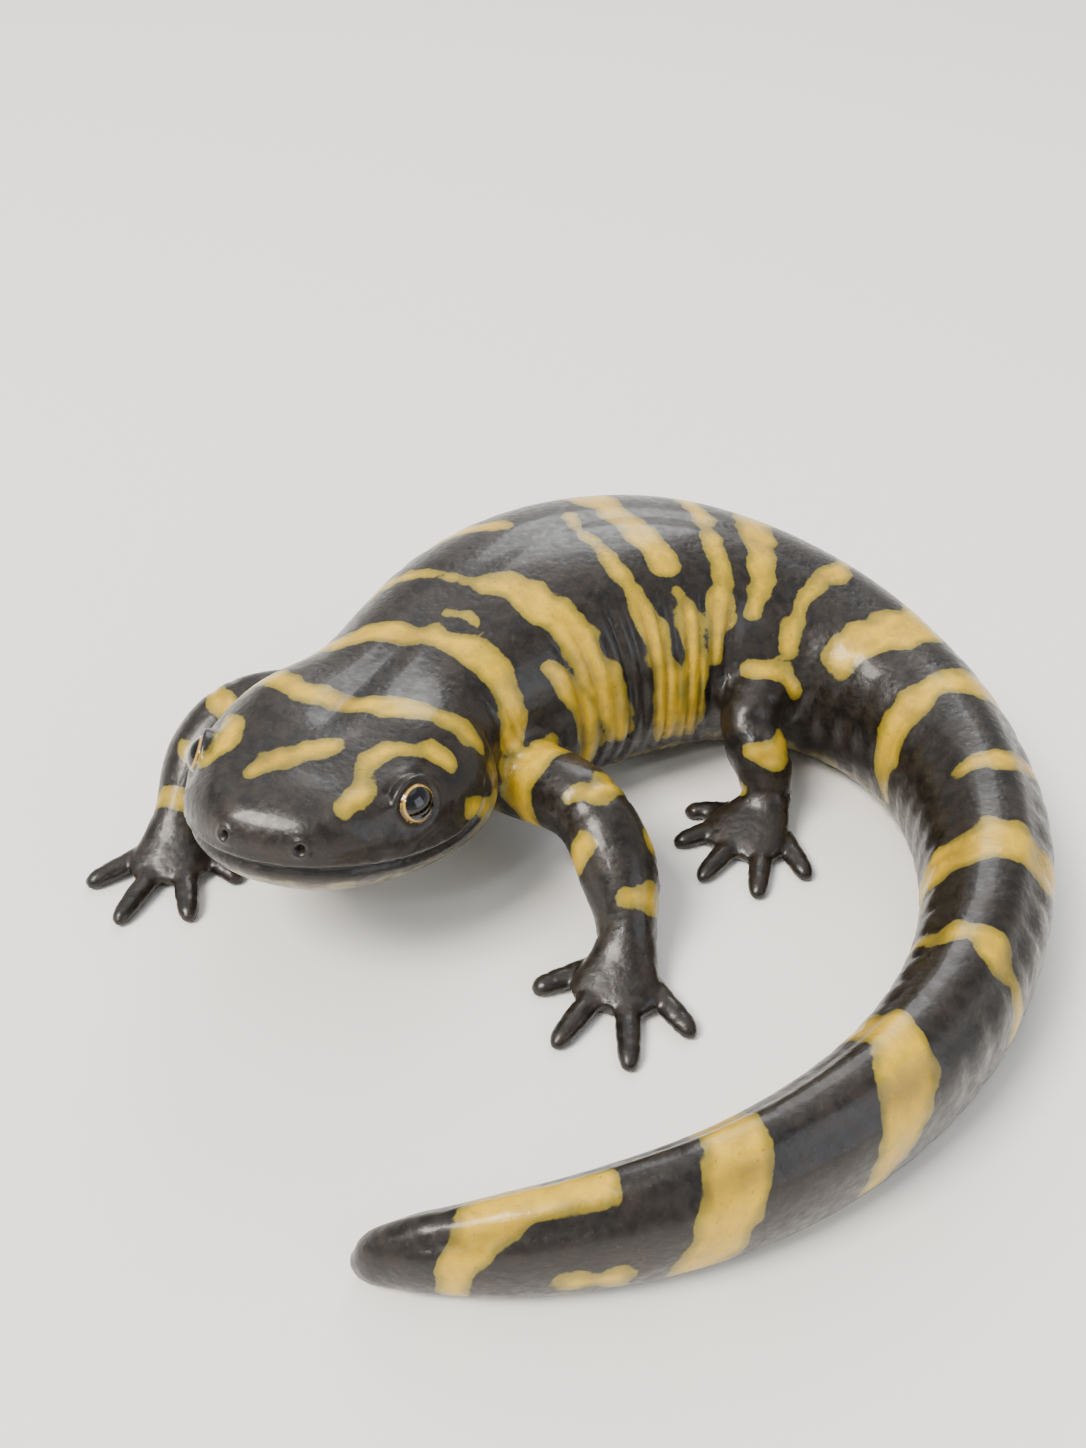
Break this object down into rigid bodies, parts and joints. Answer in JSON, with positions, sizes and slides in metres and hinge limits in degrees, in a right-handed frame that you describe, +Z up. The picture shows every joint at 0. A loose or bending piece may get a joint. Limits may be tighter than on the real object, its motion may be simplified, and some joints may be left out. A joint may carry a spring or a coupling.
{
  "type": "tiger salamander model",
  "caption": "Life-size still model of a tiger salamander, resting on its belly and feet with head raised and its long tail curled round to the front.",
  "frame": {"origin": "on the floor, at the middle of the animal's bounding box", "axes": "+Z up, away from the floor; the snout points mostly towards -Y, and the tail curls round the +X side to the front"},
  "size_m": [0.1212, 0.131, 0.0338],
  "materials": {
    "skin_head": "moist smooth amphibian skin, black-brown with olive-yellow blotches",
    "skin_body": "moist smooth amphibian skin, black-brown with olive-yellow bars",
    "skin_limbs": "moist smooth amphibian skin, black-brown with olive-yellow blotches",
    "eye": "wet glossy eye, dark iris with gold flecks round a black pupil"
  },
  "bodies": {
    "root": {"head": "skin_head", "eye_left": "eye", "eye_right": "eye", "neck": "skin_body", "torso_front": "skin_body", "torso_rear": "skin_body", "pelvis": "skin_body", "tail_base": "skin_body", "tail_middle": "skin_body", "tail_rear": "skin_body", "tail_tip": "skin_body", "left_front_upper_arm": "skin_limbs", "left_front_forearm": "skin_limbs", "left_front_hand": "skin_limbs", "right_front_upper_arm": "skin_limbs", "right_front_forearm": "skin_limbs", "right_front_hand": "skin_limbs", "left_hind_thigh": "skin_limbs", "left_hind_shank": "skin_limbs", "left_hind_foot": "skin_limbs", "right_hind_thigh": "skin_limbs", "right_hind_shank": "skin_limbs", "right_hind_foot": "skin_limbs"}
  },
  "joints": []
}
